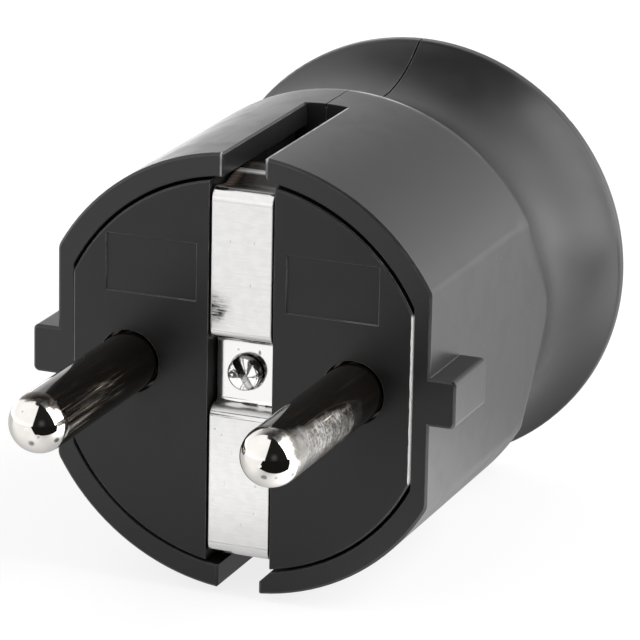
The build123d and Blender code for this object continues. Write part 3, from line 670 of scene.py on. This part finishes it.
# %% The pins: pits, streaks and marks
PIT_SCALE, PIT_LIMIT = 900.0, 0.93
TIP_MARKS = (
    ((-9.19, -18.75, -1.02), 0.34, 0.75), ((-7.56, -17.71, -0.86), 0.32, 0.9),
    ((-8.62, -18.8, -0.42), 0.2, 0.4), ((9.8, -18.78, -0.97), 0.30, 0.7),
    ((11.54, -17.45, -0.93), 0.26, 0.8), ((10.64, -18.47, -0.99), 0.2, 0.4))
TIP_RAGGED = 0.25
STREAK_SCALE, STREAK_ALONG = (4200.0, 110.0, 4200.0), (-4.5 * MM, -10.0 * MM)
STREAK_AT, STREAK_HALF = math.radians(12.0), math.radians(58.0)
MARK_SCALE, MARK_SHARE, SPECKLE_SHARE = (1900.0, 4600.0, 1900.0), 0.55, 0.45
ROUGHER_ALONG, ROUGHER = (-17.0 * MM, -9.0 * MM), (0.15, 1.3)

pits = [dots(tree, at, PIT_SCALE, PIT_LIMIT, 0.14, 0.05)]
for centre, half, share in TIP_MARKS:
    pits.append(product(tree, spot(tree, centre, (half, half, half), TIP_RAGGED), share))
pit = most(tree, *pits)
streaks = noise(tree, at, STREAK_SCALE, 4.0, Roughness=0.65)
streaked = product(tree, step(tree, y, *STREAK_ALONG), band(tree, round_axis, STREAK_AT, STREAK_HALF))
worn_off = product(tree, step(tree, streaks, 0.52, 0.66), step(tree, streaked, 0.0, 0.7, 0.06, 1.0))
speckled = total(tree, product(tree, noise(tree, at, MARK_SCALE, 4.0, Roughness=0.7), MARK_SHARE),
                 product(tree, noise(tree, at, 4200.0, 3.0), SPECKLE_SHARE))
uneven = product(tree, minus(tree, speckled, 0.5), step(tree, y, *ROUGHER_ALONG, *ROUGHER))
print("larger pits on the tips:", len(TIP_MARKS))

# %% [markdown]
# Now the colours. The scraped patch is dull grey metal with dark specks, with painted shade on its
# underside and dark blotches towards the root, where it looks hammered. Where a pin enters the
# carrier, painted shade makes a thin dark ring. The tarnish with its painted shade is taken as a
# film on the metal, so it also takes away a little of the metallic look. The relief is the turned
# rings, the scraped marks and the pits.

# %% Finish: the pins
NICKEL_DARK, NICKEL = (0.74, 0.715, 0.68, 1.0), (0.80, 0.775, 0.74, 1.0)
TARNISH_AND_SHADE, TARNISH_WORN = (0.050, 0.042, 0.036, 1.0), (0.80, 0.68, 0.55, 1.0)
SCRAPED_DARK, SCRAPED = (0.05, 0.045, 0.04, 1.0), (0.42, 0.405, 0.385, 1.0)
UNDERSIDE_SHADE, BLOTCH = (0.05, 0.043, 0.037, 1.0), (0.03, 0.027, 0.024, 1.0)
ROOT_SHADE, PIT_GREY = (0.035, 0.03, 0.026, 1.0), grey(0.06)
UNDERSIDE_SHADE_TURN = (math.radians(-5.0), math.radians(-48.0))
HAMMERED_ALONG, HAMMERED_TURN = (-12.0 * MM, -7.5 * MM), (math.radians(20.0), math.radians(-30.0))
ROOT_Y = (-0.10 * MM, -0.03 * MM)
RING_SCALE, RING_SHARE, PIT_SHARE, PIN_RELIEF = (300.0, 14000.0, 300.0), 0.02, 0.6, 0.02 * MM
TIP_GLOSS, SCRAPED_GLOSS, TARNISH_SHADE_GLOSS, TARNISH_SHADE_FILM = (0.035, 0.06), 0.26, 0.06, 0.13

rings = noise(tree, at, RING_SCALE, 3.0)
bright = mix(tree, step(tree, ragged, LINE_LOW, LINE_HIGH), NICKEL_DARK, NICKEL)
tarnish_shade = mix(tree, worn_off, TARNISH_AND_SHADE, TARNISH_WORN)
scraped = mix(tree, step(tree, total(tree, 0.5, uneven), 0.40, 0.60), SCRAPED_DARK, SCRAPED)
# Painted shade on the underside of the scraped patch.
scraped = mix(tree, step(tree, round_axis, *UNDERSIDE_SHADE_TURN, 0.0, 0.7), scraped, UNDERSIDE_SHADE)
hammered = product(tree, step(tree, y, *HAMMERED_ALONG), step(tree, round_axis, *HAMMERED_TURN, 0.4, 1.0))
blotch = product(tree, step(tree, noise(tree, at, 800.0, 3.0), 0.56, 0.44),
                 step(tree, hammered, 0.0, 1.0, 0.40, 0.95))
scraped = mix(tree, blotch, scraped, BLOTCH)
# Upper and right sides: brown tarnish with painted shade over the bright nickel.
metal = mix(tree, patch, mix(tree, shaded, bright, tarnish_shade), scraped)
metal = mix(tree, pit, metal, PIT_GREY)
# A thin dark ring of painted shade where the pin enters the carrier.
fill(tree, shader["Base Color"], mix(tree, step(tree, y, *ROOT_Y), metal, ROOT_SHADE))
gloss = total(tree, step(tree, rings, LINE_LOW, LINE_HIGH, *TIP_GLOSS),
              product(tree, patch, SCRAPED_GLOSS), product(tree, shaded, TARNISH_SHADE_GLOSS))
fill(tree, shader["Roughness"], gloss)
fill(tree, shader["Metallic"], minus(tree, 1.0, product(tree, shaded, TARNISH_SHADE_FILM)))
relief = total(tree, product(tree, rings, RING_SHARE),
               minus(tree, product(tree, patch, uneven), product(tree, pit, PIT_SHARE)))
edge = place(tree, edge_tree, Radius=0.05 * MM)
fill(tree, shader["Normal"], bump(tree, PIN_RELIEF, relief, edge["Normal"]))
print("pins:", pin_nickel.name, "with", len(tree.nodes), "nodes")

# %% [markdown]
# The strap is rolled strip, nearly a mirror for the white board in front of it. The press left
# thin dark lines beside each bend, and small marks are scattered over the front and the middle
# plate. One corner of the upper part carries a dark smudge, with a streaky halo and small bright
# nicks in its core. All are masks by place, and the darkest one counts.

# %% The strap: stains, smudge and nicks
PRESS_LINES = ((14.05, 0.09, 0.14), (3.52, 0.07, 0.30), (3.18, 0.07, 0.40))
STRAP_MARKS = (
    ((-0.99, 10.95), (0.06, 0.26), 0.22), ((1.03, 10.96), (0.07, 0.20), 0.25),
    ((0.74, 7.53), (0.06, 0.24), 0.35), ((0.55, 10.95), (0.30, 0.08), 0.12),
    ((1.2, -5.2), (0.12, 0.12), 0.30), ((1.75, -5.4), (0.10, 0.10), 0.25),
    ((1.3, -11.2), (0.10, 0.10), 0.25), ((-2.2, -10.5), (0.05, 0.30), 0.15),
    ((-2.1, -4.6), (0.16, 0.10), 0.40), ((-1.5, -5.0), (0.10, 0.14), 0.30),
    ((-0.6, -6.4), (0.05, 0.22), 0.22), ((1.4, -8.9), (0.16, 0.14), 0.22),
    ((0.2, -12.3), (0.06, 0.20), 0.18), ((-1.2, -9.0), (0.04, 0.35), 0.16))
PLATE_MARKS = (((-0.81, 1.71), (0.14, 0.12), 0.45), ((1.02, 1.66), (0.17, 0.26), 0.75))
STRAP_DEPTH, PLATE_DEPTH, MARK_DEEP, MARK_RAGGED = 0.1, 1.6, 0.3, 0.12
HALO = ((-2.35, 0.1, 5.45), (1.9, 0.5, 1.75), 0.5)
CORE = ((-2.3, 0.1, 5.25), (1.25, 0.5, 1.25), 0.6)
NICK_SCALE, NICK_LIMIT = (2600.0, 2600.0, 5200.0), 0.72
LINE_LEAST, LOWER_LINES = 0.35, 2.2
FRONT_BORDER = (0.75 * MM, 0.45 * MM)

strap_nickel, tree, shader, at, (x, y, z) = metal_start("strap_nickel")
front = step(tree, y, *FRONT_BORDER)
patchy = noise(tree, at, 1300.0, 4.0)
streaks = noise(tree, at, (700.0, 700.0, 7000.0), 3.0)
cloudy = total(tree, patchy, streaks)
stains = []
for middle, half, share in PRESS_LINES:
    stains.append(product(tree, band(tree, size(tree, z), middle * MM, half * MM), front,
                          step(tree, patchy, 0.25, 0.55, LINE_LEAST * share, share),
                          step(tree, z, -MM, MM, LOWER_LINES, 1.0)))
for marks, depth in ((STRAP_MARKS, STRAP_DEPTH), (PLATE_MARKS, PLATE_DEPTH)):
    for (mark_x, mark_z), (half_x, half_z), share in marks:
        mark = spot(tree, (mark_x, depth, mark_z), (half_x, MARK_DEEP, half_z), MARK_RAGGED)
        stains.append(product(tree, mark, share))
core = spot(tree, *CORE)
smudge = total(tree, product(tree, spot(tree, *HALO), step(tree, streaks, 0.3, 0.7, 0.0, 0.36)),
               product(tree, core, step(tree, product(tree, cloudy, 0.5), 0.38, 0.6, 0.15, 0.85)))
smudge = calc(tree, "MINIMUM", smudge, 1.0)
stain = most(tree, *stains, smudge)
nick = product(tree, core, dots(tree, at, NICK_SCALE, NICK_LIMIT, 0.30, 0.16))
print("stains on the strap:", len(stains), "and a smudge")

# %% [markdown]
# The strip's colour is clouded and lighter on the lower part, and the sunk middle plate has one
# tone. Its edges were shear-cut, so they scatter light, and their white is partly a painted
# highlight. The legs behind the front, in the slot, are painted dark as shade, with a brown band
# of painted light on their left and one bright bar that is a painted highlight.

# %% The strap: colours
STRIP_DARK, STRIP = (0.69, 0.685, 0.675, 1.0), (0.735, 0.73, 0.72, 1.0)
LOWER_DARK, LOWER = (0.93, 0.925, 0.915, 1.0), (0.98, 0.975, 0.965, 1.0)
PLATE, STAIN_GREY, NICK_WHITE_AND_EDGE_HIGHLIGHT = (0.81, 0.805, 0.795, 1.0), grey(0.05), grey(0.97)
LEG_SHADE, LEG_LIT_BROWN = (0.030, 0.025, 0.021, 1.0), (0.20, 0.155, 0.125, 1.0)
BAR_HIGHLIGHT = (0.97, 0.96, 0.94, 1.0)
LOWER_Z, LOWER_SHARE = (-3.0 * MM, -12.0 * MM), 0.85
PLATE_Y = (0.9 * MM, 1.2 * MM)
LEG_Y, LEG_Z = (0.62 * MM, 0.85 * MM), 10 * MM
BAR_Y, BAR_HALF, BAR_X = 4.6 * MM, 0.40 * MM, (-2.5 * MM, -2.1 * MM)
BROWN_X, BROWN_HALF, BROWN_Y = -2.2 * MM, 0.75 * MM, (BAR_Y + 0.3 * MM, BAR_Y - 0.2 * MM)

leg = product(tree, step(tree, y, *LEG_Y), over(tree, size(tree, z), LEG_Z))
edge = place(tree, edge_tree, Radius=0.14 * MM)
edge_shear_and_highlight = product(tree, edge["Edge"], minus(tree, 1.0, leg))
strip = mix(tree, step(tree, cloudy, 0.75, 1.25), STRIP_DARK, STRIP)
lower = mix(tree, step(tree, cloudy, 0.85, 1.15), LOWER_DARK, LOWER)
strip = mix(tree, step(tree, z, *LOWER_Z, 0.0, LOWER_SHARE), strip, lower)
strip = mix(tree, step(tree, y, *PLATE_Y), strip, PLATE)
strip = mix(tree, stain, strip, STAIN_GREY)
# Nicks and shear-cut edges turn white; on the edges this white is also a painted highlight.
strip = mix(tree, most(tree, nick, edge_shear_and_highlight), strip, NICK_WHITE_AND_EDGE_HIGHLIGHT)
# The bar across the legs is a painted highlight, and the brown band beside it is painted light.
pale_highlight = product(tree, band(tree, y, BAR_Y, BAR_HALF), step(tree, x, *BAR_X))
brown = product(tree, band(tree, x, BROWN_X, BROWN_HALF), step(tree, y, *BROWN_Y))
# The legs are painted dark as shade.
leg_shade_colour = mix(tree, pale_highlight, mix(tree, brown, LEG_SHADE, LEG_LIT_BROWN), BAR_HIGHLIGHT)
fill(tree, shader["Base Color"], mix(tree, leg, strip, leg_shade_colour))
print("bright bar on the legs at", round(BAR_Y / MM, 1), "mm")

# %% [markdown]
# The gloss follows the same masks: the plate is smoother than the front, and the legs, the sheared
# edges and the smudge are rougher. The bend below the plate is a sill that has gone dull. The
# upper part leans a little, far too little to model, but a mirror shows it, so a small fixed
# vector is added to its normal.

# %% Finish: the earth strap
SILL_Z, SILL_HALF, SILL_Y = -3.25 * MM, 0.75 * MM, (0.15 * MM, 0.40 * MM)
SILL_DULL, SILL_ROUGH = 0.5, 0.35
LEG_NOT_METAL, BAR_NOT_METAL, LEG_ROUGH = 0.8, 0.55, 2.2
ROLLED_SCALE, ROLLED_GLOSS, ROLLED_RELIEF = (150.0, 7000.0, 7000.0), (0.14, 0.18), 0.0003 * MM
PLATE_GLOSS, SHEARED_ROUGH, SMUDGE_ROUGH = 0.75, 0.40, 0.2
LEAN, LEAN_Z = (0.065, 0.0, 0.025), 3.0 * MM

rolled = noise(tree, at, ROLLED_SCALE, 3.0)
sill = product(tree, band(tree, z, SILL_Z, SILL_HALF), step(tree, y, *SILL_Y))
# The legs' painted shade and light are not metal; the sill has gone dull.
not_metal_share = total(tree, product(tree, leg, step(tree, pale_highlight, 0.2, 0.6, LEG_NOT_METAL, BAR_NOT_METAL)),
               product(tree, sill, SILL_DULL))
fill(tree, shader["Metallic"], minus(tree, 1.0, not_metal_share))
satin = product(tree, step(tree, rolled, LINE_LOW, LINE_HIGH, *ROLLED_GLOSS),
                step(tree, y, *PLATE_Y, 1.0, PLATE_GLOSS))
satin = product(tree, total(tree, satin, product(tree, sill, SILL_ROUGH)),
                step(tree, leg, 0.0, 1.0, 1.0, LEG_ROUGH))
fill(tree, shader["Roughness"], total(tree, satin, product(tree, edge_shear_and_highlight, SHEARED_ROUGH),
                                      product(tree, smudge, SMUDGE_ROUGH)))
lean = vector(tree, "SCALE", LEAN, scale=product(tree, over(tree, z, LEAN_Z), front))
leaning = vector(tree, "NORMALIZE", vector(tree, "ADD", edge["Normal"], lean))
fill(tree, shader["Normal"], bump(tree, ROLLED_RELIEF, rolled, leaning))
print("strap:", strap_nickel.name, "with", len(tree.nodes), "nodes")

# %% [markdown]
# The centre screw has been driven many times. The driver tore wedges out of the upper half of its
# hub, and each wedge leans another way, so it mirrors either the white board or something dark.
# That mirrored dark is painted in as a reflection: one curve by the angle round the axis says which
# wedges are painted dark, and noise breaks up the ones beside the slot into small teeth. The slot's
# floor and the hub's wall get painted shade as well. The screws inside the plug share this steel,
# and only their fine nicks show.

# %% Finish: the screws
TORN_X, TORN_Z = 0.30 * MM, -0.20 * MM
DARK_WEDGE_REFLECTIONS = (
    (-180, 0.85), (-176, 0.9), (-172, 0.0), (-119, 0.0), (-117, 0.6), (-115, 0.0), (-64, 0.0), (-62, 0.7),
    (-60, 0.0), (8, 0.0), (12, 0.6), (20, 0.5), (24, 0.0), (60, 0.05), (64, 0.9), (80, 0.9), (84, 0.1),
    (100, 0.05), (103, 0.5), (106, 0.1), (110, 0.15), (113, 0.97), (130, 0.97), (134, 0.05), (146, 0.05),
    (150, 0.95), (180, 0.95))
SWING, TOOTHED = 0.25, (math.radians(145.0), math.radians(150.0))
HUB_Y, HUB_MIDDLE, HUB_WALL = 2.0 * MM, (0.05 * MM, 0.25 * MM), (1.30 * MM, 1.36 * MM)
DEEP_Y, DEEP_Z, WALL_Y = (0.72 * MM, 0.80 * MM), (-0.15 * MM, 0.05 * MM), (0.80 * MM, 0.95 * MM)
DEEP_SHARE, WALL_SHARE = 0.8, 0.9
STEEL, STEEL_NICKED, REFLECTION_AND_SHADE_DARK = (0.90, 0.895, 0.88, 1.0), grey(0.15), (0.02, 0.018, 0.016, 1.0)
STEEL_GLOSS, TORN_DEEP, NICK_DEEP = (0.12, 0.26), 0.05 * MM, 0.008 * MM

screw_steel, tree, shader, at, (x, y, z) = metal_start("screw_steel")
angle = calc(tree, "ARCTAN2", minus(tree, z, TORN_Z), minus(tree, x, TORN_X))
reach = calc(tree, "SQRT", total(tree, product(tree, x, x), product(tree, z, z)))
nicked = noise(tree, at, 2400.0, 3.0)
swung = total(tree, angle, product(tree, minus(tree, nicked, 0.5), SWING))
on_hub = under(tree, y, HUB_Y)
teeth = step(tree, noise(tree, at, 4200.0, 2.0), 0.42, 0.50)
toothed = step(tree, size(tree, angle), *TOOTHED)
# The curve gives the painted reflection: the wedges that mirror something dark are painted dark.
wedge = product(tree, curve(tree, swung, DARK_WEDGE_REFLECTIONS), on_hub, step(tree, reach, *HUB_MIDDLE),
                mix(tree, toothed, grey(1.0), teeth))
# Painted shade on the slot's floor and on the hub's wall.
deep = product(tree, on_hub, step(tree, y, *DEEP_Y), step(tree, z, *DEEP_Z), DEEP_SHARE)
wall = product(tree, on_hub, step(tree, reach, *HUB_WALL), step(tree, y, *WALL_Y), WALL_SHARE)
worn = mix(tree, step(tree, nicked, 0.60, 0.70, 0.0, 0.6), STEEL, STEEL_NICKED)
fill(tree, shader["Base Color"], mix(tree, most(tree, wedge, deep, wall), worn, REFLECTION_AND_SHADE_DARK))
fill(tree, shader["Roughness"], step(tree, nicked, LINE_LOW, LINE_HIGH, *STEEL_GLOSS))
edge = place(tree, edge_tree, Radius=0.06 * MM)
torn = bump(tree, TORN_DEEP, wedge, edge["Normal"])
fill(tree, shader["Normal"], bump(tree, NICK_DEEP, nicked, torn))
print("metals:", pin_nickel.name, strap_nickel.name, screw_steel.name, terminal_brass.name)

# %% [markdown]
# Each CAD node takes the finish of its material slot in the record. Only the material slots are
# filled: the nodes stay where the CAD put them.

# %% Finishes on the nodes
finishes = {"housing": housing_plastic, "carrier": carrier_plastic, "pin_plating": pin_nickel,
            "strap_plating": strap_nickel, "screw_steel": screw_steel, "terminal_brass": terminal_brass}
for row in frame["record"]["subparts"]:
    piece = frame["nodes"][row["node"]]
    piece.data.materials.clear()
    piece.data.materials.append(finishes[row["material_slot"]])
